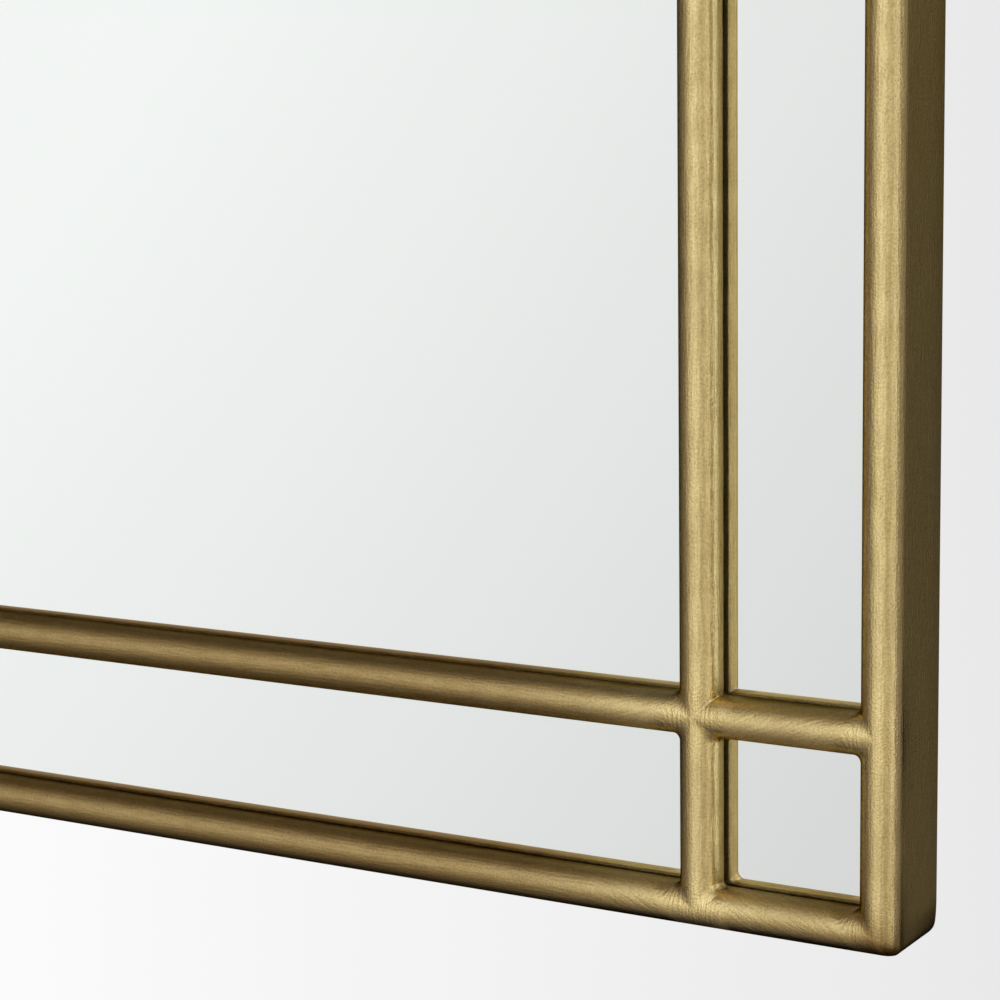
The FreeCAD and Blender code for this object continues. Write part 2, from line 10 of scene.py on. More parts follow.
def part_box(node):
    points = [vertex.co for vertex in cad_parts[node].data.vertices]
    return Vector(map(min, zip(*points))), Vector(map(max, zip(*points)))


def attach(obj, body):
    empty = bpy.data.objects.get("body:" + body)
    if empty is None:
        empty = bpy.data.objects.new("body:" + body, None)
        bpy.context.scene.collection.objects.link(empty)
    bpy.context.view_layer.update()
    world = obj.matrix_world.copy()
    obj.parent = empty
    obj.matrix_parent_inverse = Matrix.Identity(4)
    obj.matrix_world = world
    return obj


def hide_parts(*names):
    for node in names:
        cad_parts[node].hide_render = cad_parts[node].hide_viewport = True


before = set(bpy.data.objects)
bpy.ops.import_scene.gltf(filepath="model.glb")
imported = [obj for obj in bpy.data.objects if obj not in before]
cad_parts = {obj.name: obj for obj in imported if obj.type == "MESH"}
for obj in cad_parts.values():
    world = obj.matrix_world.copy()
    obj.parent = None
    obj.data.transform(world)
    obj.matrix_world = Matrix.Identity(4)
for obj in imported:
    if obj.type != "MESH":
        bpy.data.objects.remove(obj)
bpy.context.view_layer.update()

# A millimetre, and two tolerances in metres.
MM = 0.001
CLOSE = 1e-7
MERGE = 1e-6

# Places and sizes that the frame gives, in metres.
stile_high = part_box("right_stile")[1]
rail_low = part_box("bottom_rail")[0]
upright_low, upright_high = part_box("right_upright")
sill_low, sill_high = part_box("inner_sill_bar")
pane_low, pane_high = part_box("mirror_pane")

BAR = (upright_high.x - upright_low.x) / 2
CROWN_Y = upright_low.y + BAR
GLASS_Y = upright_high.y
WALL_Y = stile_high.y
FLANK = GLASS_Y - CROWN_Y
SIDE_DEPTH = WALL_Y - CROWN_Y
SIDE_WALL = stile_high.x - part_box("right_hanger_plate")[1].x
STILE_X = stile_high.x - BAR
UPRIGHT_X = (upright_low.x + upright_high.x) / 2
RAIL_Z = rail_low.z + BAR
SILL_Z = (sill_low.z + sill_high.z) / 2
SPRING_Z = pane_high.z - pane_high.x
TAIL_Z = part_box("outer_arch")[0].z

SILVER_GAP = 0.05 * MM

# Finish of the bars.
GLASS_EDGE_ROUND = 1.2 * MM
WALL_EDGE_ROUND = 0.8 * MM
INSIDE_EDGE_ROUND = 0.4 * MM
CORNER_ROUND = 4 * MM
CORNER_ROUND_BEHIND = 5 * MM
CORNER_LIFT = 6 * MM
CORNER_RUN = 13 * MM
CORNER_BLEND = 8 * MM
CORNER_POLISH = 0.5
# Painted shade: the bottom of each corner darkened in colour, where its rounding faces down.
CORNER_PAINTED_SHADE = 0.5
CORNER_PAINTED_SHADE_REACH = 9 * MM
WELD_FILLET = 2 * MM
WELD_RISE = 1.6
JOINT_REACH = 39.6 * MM
BARE_WELD = 0.12
FILING_REACH = 16 * MM
FILING_GAIN = 1.4
POLISH_REACH = 52 * MM
FILED_SHEEN = 0.6
# Painted shade: level bars darkened in colour, as they catch less light than the uprights; it lifts near
# the welds, where they are filed across.
LEVEL_PAINTED_SHADE = 0.56
# Painted shade: flanks darkened in colour where they stand on the glass, with how far it fades up them.
FLANK_PAINTED_SHADE = 0.35
LEVEL_FLANK_PAINTED_SHADE = 0.25
FLANK_FADE = 0.45
FLANK_FULL = 0.4
# Painted shade: the weld crevices darkened in colour.
CREVICE_PAINTED_SHADE = 0.35
CREVICE_GAIN = 2.5

# Fineness of the meshes.
EDGE_PART = 0.6
EDGE_STEPS = 6
CROWN_STEPS = 36
WALL_ROWS = (0.66, 0.33, 0.1)
NEAR_STEPS = [0, 0.3, 0.6, 0.9, 1.3, 1.7, 2.2, 2.8, 3.5, 4.4, 5.6, 7.2, 9.5, 12.5, 16]
LONG_STEP = 25 * MM
NEAR_PART = 0.4
ARCH_STEP = 5 * MM
SETTLE_ROUNDS = 6
SETTLE_PROBE = 0.002 * MM
SETTLE_SLOPE = 0.2
SHARP_EDGE = 35
PANE_STEPS = 144

# The photograph's camera.
IMAGE_SIDE = 1000
FOCAL_PIXELS = 2775.3
SENSOR = 36
CAMERA_PLACE = (0.774273, -0.953632, -0.275253)
CAMERA_YAW = 31.552
CAMERA_DROP = 8.696
CAMERA_ROLL = -0.801
CAMERA_NEAR = 0.05


# Courses: the centre lines that the bars follow in the front view.


class Straight:
    """A level or upright centre line that starts at one point and heads one way."""

    def __init__(self, start, heading, outward):
        self.start = np.array(start)
        self.heading = np.array(heading)
        self.outward = np.array(outward)

    def at(self, along, across):
        return self.start + along[..., None] * self.heading + across[..., None] * self.outward

    def across(self, points):
        return (points - self.start) @ self.outward

    def along(self, points):
        return (points - self.start) @ self.heading


class Arch:
    """Up the right tail, round the half circle and down the left tail."""

    def __init__(self, radius, foot):
        self.radius = radius
        self.tail = SPRING_Z - foot
        self.length = 2 * self.tail + math.pi * radius

    def at(self, along, across):
        turn = np.clip((along - self.tail) / self.radius, 0, math.pi)
        reach = self.radius + across
        drop = np.maximum(self.tail - along, along - self.length + self.tail)
        x = reach * np.cos(turn)
        z = SPRING_Z + reach * np.sin(turn) - np.maximum(drop, 0)
        return np.stack([x, z], -1)

    def across(self, points):
        rise = np.maximum(points[..., 1] - SPRING_Z, 0)
        return np.hypot(points[..., 0], rise) - self.radius


# Sections: rings of (across, height) round a bar, with height counted forward from the crown's centre.


def crown_ring():
    turns = np.linspace(0, math.pi, CROWN_STEPS + 1)
    return [(BAR * math.cos(turn), BAR * math.sin(turn)) for turn in turns]


def rounded(across, height, radius, start):
    """A quarter round about a centre, from an angle in degrees."""
    turns = [math.radians(start + 90 * step / EDGE_STEPS) for step in range(EDGE_STEPS + 1)]
    return [(across + radius * math.cos(turn), height + radius * math.sin(turn)) for turn in turns]


def glass_side():
    """From the middle of a bar's back, round its edge and up its flank."""
    edge = rounded(BAR - GLASS_EDGE_ROUND, GLASS_EDGE_ROUND - FLANK, GLASS_EDGE_ROUND, -90)
    return [(BAR / 2, -FLANK), *edge, (BAR, -FLANK / 2)]


def other_side(points):
    return [(-across, height) for across, height in reversed(points)]


def inner_ring():
    """Half-round crown, two flanks and a flat back on the glass."""
    side = glass_side()
    return [(0, -FLANK), *side, *crown_ring(), *other_side(side)]


def outer_ring():
    """The same crown with a deep flat side wall behind its outward edge."""
    inside = BAR - SIDE_WALL
    back = -SIDE_DEPTH
    wall = [
        (inside, -FLANK),
        (inside, back / 2),
        *rounded(inside + INSIDE_EDGE_ROUND, back + INSIDE_EDGE_ROUND, INSIDE_EDGE_ROUND, 180),
        *rounded(BAR - WALL_EDGE_ROUND, back + WALL_EDGE_ROUND, WALL_EDGE_ROUND, -90),
        *((BAR, back * share) for share in WALL_ROWS),
    ]
    return [(0, -FLANK), *wall, *crown_ring(), *other_side(glass_side())]


# Joints of the bars. A joint has two courses. Where the second one stops at the joint, the heading
# points along it, away from the joint.


def section_distance(across, height):
    return np.where(height > 0, np.hypot(across, height), np.abs(across)) - BAR


def facing(across, height):
    """How much a bar's skin faces the front there: 1 on the crest, 0 on a flank."""
    return np.where(height > 0, height / np.maximum(np.hypot(across, height), CLOSE), 0)


class Joint:
    """A weld where two courses meet, with its fillet."""

    def __init__(self, place, first, second, heading=None, corner=False, bare=False):
        self.place = np.array(place)
        self.courses = (first, second)
        self.heading = None if heading is None else np.array(heading)
        self.corner = corner
        self.bare = bare

    def distance(self, points, height):
        """Distance to the skin of both bars, with the weld's fillet between them."""
        spans = [course.across(points) for course in self.courses]
        near = [section_distance(across, height) for across in spans]
        if self.heading is not None:
            past = -((points - self.place) @ self.heading)
            near[1] = np.maximum(near[1], past)
        rise = 1 + WELD_RISE * np.clip(height / BAR, 0, 1)
        radius = WELD_FILLET * rise * self.spread(spans, height)
        if self.bare:
            radius = np.where((spans[0] > 0) & (spans[1] > 0), BARE_WELD * radius, radius)
        joined = np.maximum(radius, np.minimum(*near))
        joined = joined - np.hypot(*(np.maximum(radius - d, 0) for d in near))
        if not self.corner:
            return joined
        outward = [np.maximum(across, 0) for across in spans]
        near = [section_distance(across, height) for across in outward]
        behind = np.clip(-height / SIDE_DEPTH, 0, 1)
        radius = CORNER_ROUND + (CORNER_ROUND_BEHIND - CORNER_ROUND) * behind
        radius = radius * rise * self.spread(outward, height)
        mitred = np.minimum(-radius, np.maximum(*near))
        mitred = mitred + np.hypot(*(np.maximum(radius + d, 0) for d in near))
        return np.where((spans[0] < 0) & (spans[1] < 0), joined, mitred)

    def apart(self, points):
        """Distance from the mitre between the two courses."""
        return np.abs(self.courses[0].across(points) - self.courses[1].across(points)) / math.sqrt(2)

    def lift(self, points, height):
        """How far the wall edge stands off near a corner that is ground round."""
        run = BAR - np.minimum(*(course.across(points) for course in self.courses))
        left = np.clip(1 - run / CORNER_RUN, 0, 1)
        share = np.clip((-height - FLANK) / (SIDE_DEPTH - FLANK), 0, 1)
        return CORNER_LIFT * (1 - np.sqrt(1 - left ** 2)) * share

    def spread(self, spans, height):
        """How far apart the two skins face: 0 where they run together, 1 where they stand square."""
        return 1 - facing(spans[0], height) * facing(spans[1], height)

    def settle(self, points, height):
        """Move points of a skin on to the filleted skin of the joint."""
        points = points.copy()
        height = height.copy()
        probe = SETTLE_PROBE
        for _ in range(SETTLE_ROUNDS):
            here = self.distance(points, height)
            slope = []
            for axis in range(2):
                step = np.zeros(2)
                step[axis] = probe
                rise = self.distance(points + step, height) - self.distance(points - step, height)
                slope.append(rise / (2 * probe))
            rise = self.distance(points, height + probe) - self.distance(points, height - probe)
            slope.append(rise / (2 * probe))
            steep = np.maximum(slope[0] ** 2 + slope[1] ** 2 + slope[2] ** 2, SETTLE_SLOPE)
            shift = here / steep
            points = points - np.stack(slope[:2], -1) * shift[..., None]
            height = height - slope[2] * shift
        return points, height


# Ends of a bar, as how far a line at some distance across stops short of the end's centre.


def butt(across):
    return across * 0


def pointed(across):
    return np.abs(across)


def notched(side):
    return lambda across: np.maximum(side * across, 0)


def mitred(side):
    return lambda across: side * across


def span_rows(length, longest):
    """Close steps from each end of a span, and the number of longer steps between them."""
    near = [step * MM for step in NEAR_STEPS if step * MM < NEAR_PART * length]
    middle = length - 2 * near[-1]
    count = max(1, math.ceil(middle / longest))
    return near, count


def bar_rows(across, stations, longest):
    """How far along its course each point of each ring lies, and the rows at which spans start."""
    rows, span_starts = [], []
    for (begin, begin_cut, _), (end, end_cut, _) in zip(stations, stations[1:]):
        first = begin + begin_cut(across)
        last = end - end_cut(across)
        near, count = span_rows(end - begin - 2 * BAR, longest)
        span_starts.append(len(rows))
        rows += [first + step for step in near]
        for part in range(1, count):
            share = part / count
            rows.append((first + near[-1]) * (1 - share) + (last - near[-1]) * share)
        rows += [last - step for step in reversed(near)]
    return np.array(rows), span_starts


def fading(gap, reach):
    """A share that is 1 at a place and dies away round it."""
    return np.exp(-((gap / reach) ** 2))


def closed(grid):
    """A grid with its first column once more after its last."""
    return np.concatenate([grid, grid[:, :1]], axis=1)


def stroke_run(ring, along, from_joint, turn):
    """Coordinates along and across the brush strokes, turned where the welds are filed."""
    girth = np.concatenate([[0], np.cumsum(np.linalg.norm(np.diff(ring, axis=0), axis=1))])
    around = np.append(girth, girth[-1] + BAR / 2) - girth[np.argmax(ring[:, 1])]
    turn, from_joint, along = closed(turn), closed(from_joint), closed(along)
    return np.stack([
        along + from_joint * (np.cos(turn) - 1) + around * np.sin(turn),
        around * np.cos(turn) - from_joint * np.sin(turn),
    ], -1)


def bar_mesh(name, course, ring, stations, joints, longest=LONG_STEP, level=False):
    """A bar along its course, cut at its stations and welded at its joints."""
    ring = np.array(ring)
    across, height = ring[:, 0], ring[:, 1]
    along, span_starts = bar_rows(across, stations, longest)
    points = course.at(along, np.broadcast_to(across, along.shape))
    heights = np.broadcast_to(height, along.shape).copy()
    skin = (np.abs(np.abs(across) - BAR) < CLOSE) | (height >= 0)
    front = np.clip(1 + height / FLANK, 0, 1)
    plain = points.copy()
    filed, polish, from_joint, moved, shade_sum = (np.zeros(along.shape) for _ in range(5))
    for joint in joints:
        gap = np.linalg.norm(points - joint.place, axis=-1)
        near = np.minimum(FILING_GAIN * fading(gap, FILING_REACH), 1)
        if level:
            from_joint = np.where(near > filed, along - course.along(joint.place), from_joint)
        filed = np.maximum(filed, near)
        bright = 1
        if joint.corner:
            bright = CORNER_POLISH
            # Painted shade darkens the bottom of the corner.
            low = np.linalg.norm(points - joint.place + (0, BAR / 2), axis=-1)
            shade_sum = shade_sum + CORNER_PAINTED_SHADE * fading(low, CORNER_PAINTED_SHADE_REACH)
            if not level:
                # The level bars' painted shade runs on to the stile along the mitre.
                share = fading(joint.apart(points), CORNER_BLEND) * front
                shade_sum = shade_sum + LEVEL_PAINTED_SHADE * (1 - CORNER_POLISH) * share
        polish = np.maximum(polish, bright * fading(gap, POLISH_REACH))
        close = (gap < JOINT_REACH) & skin
        new_points, new_heights = joint.settle(points[close], heights[close])
        sideways = np.linalg.norm(new_points - points[close], axis=-1)
        shift = np.hypot(sideways, new_heights - heights[close])
        moved[close] = np.maximum(moved[close], shift)
        points[close] = new_points
        heights[close] = new_heights
    shift = points - plain
    for hand in (1, -1):
        edge = np.flatnonzero(skin & (hand * across > BAR - CLOSE))
        guide = edge[np.argmin(height[edge])]
        loose = ~skin & (hand * across > EDGE_PART * BAR)
        points[:, loose] += shift[:, [guide]]
    # Painted shade on the flanks by the glass, none on the outer side wall.
    flank_shade, fade = (LEVEL_FLANK_PAINTED_SHADE, 0) if level else (FLANK_PAINTED_SHADE, FLANK_FADE * BAR)
    flank = np.clip((fade - height) / (fade + FLANK_FULL * FLANK), 0, 1)
    if height.min() < -FLANK - CLOSE:
        flank[across > EDGE_PART * BAR] = 0
        for joint in joints:
            if joint.corner:
                heights = heights + joint.lift(points, heights)
    # Painted shade in the weld crevices and on the flanks.
    crevice = np.minimum(CREVICE_GAIN * moved / WELD_FILLET, 1)
    shade_sum = shade_sum + CREVICE_PAINTED_SHADE * crevice + flank_shade * flank
    # Painted shade darkens the level bars away from the welds.
    if level:
        shade_sum = shade_sum + LEVEL_PAINTED_SHADE * (1 - polish)
    turn = math.pi / 2 * filed if level else np.zeros(along.shape)
    strokes = stroke_run(ring, along, from_joint, turn)
    masks = {"painted_shade": np.clip(shade_sum, 0, 1), "filed": filed * front}
    return build_bar(name, points, heights, strokes, stations, span_starts, across, masks)


def build_bar(name, points, heights, strokes, stations, span_starts, across, masks):
    """Turn the grid of a bar into a closed mesh with the run of its brush strokes and its masks."""
    row_count, ring_count = heights.shape
    mesh = bmesh.new()
    uv_layer = mesh.loops.layers.uv.new("bar")
    layers = [(mesh.verts.layers.float.new(label), mask) for label, mask in masks.items()]
    grid = []
    for row in range(row_count):
        line = []
        for index in range(ring_count):
            x, z = points[row, index]
            vertex = mesh.verts.new((x, CROWN_Y - heights[row, index], z))
            for layer, mask in layers:
                vertex[layer] = mask[row, index]
            line.append(vertex)
        grid.append(line)
    starts = set(span_starts)
    for row in range(row_count - 1):
        if row + 1 in starts:
            continue
        for index in range(ring_count):
            corners = [(row, index), (row, index + 1), (row + 1, index + 1), (row + 1, index)]
            face = mesh.faces.new([grid[r][k % ring_count] for r, k in corners])
            for loop, (r, k) in zip(face.loops, corners):
                loop[uv_layer].uv = strokes[r, k]
    cap_ends(mesh, grid, stations, span_starts, across)
    bmesh.ops.remove_doubles(mesh, verts=mesh.verts, dist=MERGE)
    bmesh.ops.recalc_face_normals(mesh, faces=mesh.faces)
    return finished_mesh(name, mesh)


def cap_ends(mesh, grid, stations, span_starts, across):
    """Close the cut faces of each span."""
    last_rows = [start - 1 for start in span_starts[1:]] + [len(grid) - 1]
    for number, (start, last) in enumerate(zip(span_starts, last_rows)):
        for row, kind in ((start, stations[number][2]), (last, stations[number + 1][2])):
            if kind == "whole":
                mesh.faces.new(grid[row])
            if kind in ("point", "notch_out"):
                mesh.faces.new([v for v, t in zip(grid[row], across) if t >= -CLOSE])
            if kind in ("point", "notch_in"):
                inward = [v for v, t in zip(grid[row][1:], across[1:]) if t <= CLOSE]
                mesh.faces.new([*inward, grid[row][0]])


def finished_mesh(name, mesh, sharp=SHARP_EDGE):
    """A named object from a bmesh, smooth but for its sharp edges."""
    data = bpy.data.meshes.new(name)
    mesh.to_mesh(data)
    mesh.free()
    data.shade_smooth()
    data.set_sharp_from_angle(angle=math.radians(sharp))
    piece = bpy.data.objects.new(name, data)
    bpy.context.scene.collection.objects.link(piece)
    return piece


# The frame of bars.


def make_bars():
    """Every bar by the name of the node that it stands for."""
    arch = Arch(STILE_X, TAIL_Z)
    inner_arch = Arch(UPRIGHT_X, TAIL_Z)
    rail = Straight((0, RAIL_Z), (1, 0), (0, -1))
    sill = Straight((0, SILL_Z), (1, 0), (0, 1))
    crown_line = Straight((0, SPRING_Z), (0, 1), (1, 0))
    spring_line = Straight((0, SPRING_Z), (1, 0), (0, 1))
    inner, outer = inner_ring(), outer_ring()
    crown_joints = [
        Joint((0, SPRING_Z + STILE_X), arch, crown_line, (0, -1)),
        Joint((0, SPRING_Z + UPRIGHT_X), inner_arch, crown_line, (0, 1)),
    ]
    bars = {}
    arch_joints, inner_arch_joints = crown_joints[:1], crown_joints[1:]
    rail_joints, sill_joints = [], []
    for side, hand in ((1, "right"), (-1, "left")):
        stile = Straight((side * STILE_X, 0), (0, 1), (side, 0))
        upright = Straight((side * UPRIGHT_X, 0), (0, 1), (side, 0))
        corner = Joint((side * STILE_X, RAIL_Z), stile, rail, corner=True)
        foot = Joint((side * UPRIGHT_X, RAIL_Z), rail, upright, (0, 1))
        crossing = Joint((side * UPRIGHT_X, SILL_Z), upright, sill, bare=True)
        tee = Joint((side * STILE_X, SILL_Z), stile, sill, (-side, 0))
        spring = Joint((side * STILE_X, SPRING_Z), arch, spring_line, (-side, 0))
        inner_spring = Joint((side * UPRIGHT_X, SPRING_Z), inner_arch, spring_line, (side, 0))
        arch_joints.append(spring)
        inner_arch_joints.append(inner_spring)
        rail_joints += [corner, foot]
        sill_joints.append(crossing)
        stations = [
            (RAIL_Z, mitred(-1), "whole"),
            (SILL_Z, notched(-1), "notch_in"),
            (TAIL_Z, butt, "whole"),
        ]
        bars[f"{hand}_stile"] = bar_mesh(f"{hand}_stile_bar", stile, outer, stations, [corner, tee])
        stations = [(SILL_Z, pointed, "point"), (TAIL_Z, butt, "whole")]
        bars[f"{hand}_upright"] = bar_mesh(f"{hand}_upright_bar", upright, inner, stations, [crossing])
        stations = [(RAIL_Z, pointed, "point"), (SILL_Z, pointed, "point")]
        joints = [foot, crossing]
        bars[f"{hand}_foot_stub"] = bar_mesh(f"{hand}_foot_bar", upright, inner, stations, joints)
        reach = sorted((side * UPRIGHT_X, side * STILE_X))
        stations = [(end, pointed, "point") for end in reach]
        for kind, course, joints in (
            ("side", sill, [crossing, tee]),
            ("spring", spring_line, [spring, inner_spring]),
        ):
            bar = bar_mesh(f"{hand}_{kind}_bar", course, inner, stations, joints, level=True)
            bars[f"{hand}_{kind}_stub"] = bar
    stations = [
        (-STILE_X, mitred(-1), "whole"),
        (-UPRIGHT_X, notched(-1), "notch_in"),
        (UPRIGHT_X, notched(-1), "notch_in"),
        (STILE_X, mitred(-1), "whole"),
    ]
    bars["bottom_rail"] = bar_mesh("bottom_rail_bar", rail, outer, stations, rail_joints, level=True)
    stations = [(-UPRIGHT_X, pointed, "point"), (UPRIGHT_X, pointed, "point")]
    bars["inner_sill_bar"] = bar_mesh("inner_sill_run", sill, inner, stations, sill_joints, level=True)
    top = SPRING_Z + UPRIGHT_X, SPRING_Z + STILE_X
    stations = [(end - SPRING_Z, pointed, "point") for end in top]
    bars["crown_stub"] = bar_mesh("crown_bar", crown_line, inner, stations, crown_joints)
    for node, course, ring, side, joints in (
        ("outer_arch", arch, outer, -1, arch_joints),
        ("inner_arch", inner_arch, inner, 1, inner_arch_joints),
    ):
        cut = (notched(side), "notch_in" if side < 0 else "notch_out")
        quarter = math.pi / 2 * course.radius
        stations = [(0, butt, "whole")]
        stations += [(course.tail + number * quarter, *cut) for number in range(3)]
        stations += [(course.length, butt, "whole")]
        bars[node] = bar_mesh(f"{node}_bar", course, ring, stations, joints, ARCH_STEP)
    return bars


# The glass.


def make_pane():
    """One arched sheet: clear front and edges, silver on its back."""
    mesh = bmesh.new()
    half, foot = pane_high.x, pane_low.z
    outline = [(-half, foot), (half, foot)]
    for step in range(PANE_STEPS + 1):
        turn = math.pi * step / PANE_STEPS
        outline.append((half * math.cos(turn), SPRING_Z + half * math.sin(turn)))
    depths = (pane_low.y, pane_high.y - SILVER_GAP)
    rings = [[mesh.verts.new((x, y, z)) for x, z in outline] for y in depths]
    mesh.faces.new(rings[0])
    back = mesh.faces.new(list(reversed(rings[1])))
    back.material_index = 1
    for index in range(len(outline)):
        after = (index + 1) % len(outline)
        mesh.faces.new([rings[0][index], rings[1][index], rings[1][after], rings[0][after]])
    bmesh.ops.recalc_face_normals(mesh, faces=mesh.faces)
    return finished_mesh("mirror_glass", mesh)


# Fittings behind the glass.

SCREW_HEAD_HEIGHT = 2 * MM
SCREW_RECESS = {"Recess Width": 0.9 * MM, "Recess Length": 4 * MM, "Recess Depth": 1.1 * MM}
TAB_SCREW = {"Shank Radius": 1.75 * MM, "Shank Length": 7.9 * MM, "Seed": 3}
HANGER_SCREW = {"Shank Radius": 2 * MM, "Shank Length": 5.9 * MM, "Seed": 8}
SCREW_SIDES = 32
DOME_RINGS = 10
DOME_NARROWING = 0.5
DOME_RISE = 0.8
SHANK_SIDES = 20
BEAD_SIDES = 14
BEAD_INSET = 2 * MM
BEAD = {"Bead Radius": 1.7 * MM, "Ripple Pitch": 2.6 * MM, "Ripple Depth": 0.12, "Step": 0.4 * MM}
BOARD_EDGE = 0.6 * MM
FOAM_EDGE = 0.4 * MM
TAB_EDGE = 0.3 * MM
PLATE_EDGE = 0.5 * MM
STRAP_EDGE = 0.25 * MM
RING_EDGE = 0.1 * MM
FITTING_SHARP = 30
FITTING_FLAT = 1


def node_copy(node):
    """A merged copy of a node's mesh."""
    mesh = bmesh.new()
    mesh.from_mesh(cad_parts[node].data)
    bmesh.ops.remove_doubles(mesh, verts=mesh.verts, dist=MERGE)
    for layers in (mesh.loops.layers.uv, mesh.verts.layers.float):
        for layer in list(layers.values()):
            layers.remove(layer)
    return mesh


def islands(node):
    """The lowest and highest corner of each separate solid in a node."""
    mesh = node_copy(node)
    waiting = set(mesh.verts)
    boxes = []
    while waiting:
        front = [waiting.pop()]
        places = []
        while front:
            vertex = front.pop()
            places.append(vertex.co.copy())
            for edge in vertex.link_edges:
                other = edge.other_vert(vertex)
                if other in waiting:
                    waiting.remove(other)
                    front.append(other)
        low = Vector([min(place[axis] for place in places) for axis in range(3)])
        high = Vector([max(place[axis] for place in places) for axis in range(3)])
        boxes.append((low, high))
    mesh.free()
    return sorted(boxes, key=lambda box: (round(box[0].x, 5), box[0].z))


def dressed(node, name, width):
    """A node's own shape with its sharp edges rounded."""
    mesh = node_copy(node)
    flat, sharp = math.radians(FITTING_FLAT), math.radians(FITTING_SHARP)
    bmesh.ops.dissolve_limit(mesh, angle_limit=flat, verts=mesh.verts, edges=mesh.edges)
    hard = [edge for edge in mesh.edges if len(edge.link_faces) == 2]
    hard = [edge for edge in hard if edge.calc_face_angle() > sharp]
    bmesh.ops.bevel(
        mesh, geom=hard, offset=width, segments=2, profile=0.5, affect="EDGES", clamp_overlap=True,
    )
    uv_layer = mesh.loops.layers.uv.new("bar")
    for face in mesh.faces:
        level = max(range(3), key=lambda axis: abs(face.normal[axis]))
        axes = [axis for axis in (2, 0, 1) if axis != level]
        for loop in face.loops:
            loop[uv_layer].uv = [loop.vert.co[axis] for axis in axes]
    piece = finished_mesh(name, mesh, FITTING_SHARP)
    even = piece.modifiers.new("even_shading", "WEIGHTED_NORMAL")
    even.keep_sharp = True
    make_plain(piece)
    return piece


def make_plain(piece):
    """Turn what a piece's modifiers make of it into its plain mesh."""
    graph = bpy.context.evaluated_depsgraph_get()
    data = bpy.data.meshes.new_from_object(piece.evaluated_get(graph))
    before = piece.data
    piece.modifiers.clear()
    piece.data = data
    bpy.data.meshes.remove(before)
    data.name = piece.name


def geometry_tree(name, sizes, counts=()):
    """A tree with a mesh, named sizes, whole numbers and a material as inputs."""
    tree = bpy.data.node_groups.new(name, "GeometryNodeTree")
    new_socket = tree.interface.new_socket
    new_socket("Geometry", in_out="INPUT", socket_type="NodeSocketGeometry")
    for label in sizes:
        new_socket(label, in_out="INPUT", socket_type="NodeSocketFloat")
    for label in counts:
        new_socket(label, in_out="INPUT", socket_type="NodeSocketInt")
    new_socket("Material", in_out="INPUT", socket_type="NodeSocketMaterial")
    new_socket("Geometry", in_out="OUTPUT", socket_type="NodeSocketGeometry")
    return tree, add(tree, "NodeGroupInput").outputs


def maths(tree, operation, *values):
    """The result of a maths node."""
    return result(tree, "ShaderNodeMath", dict(enumerate(values)), operation=operation)


def end_tree(tree, geometry, material):
    real = result(tree, "GeometryNodeRealizeInstances", {0: geometry})
    smooth = result(tree, "GeometryNodeSetShadeSmooth", {0: real})
    painted = result(tree, "GeometryNodeSetMaterial", {"Geometry": smooth, "Material": material})
    add(tree, "NodeGroupOutput", {0: painted})


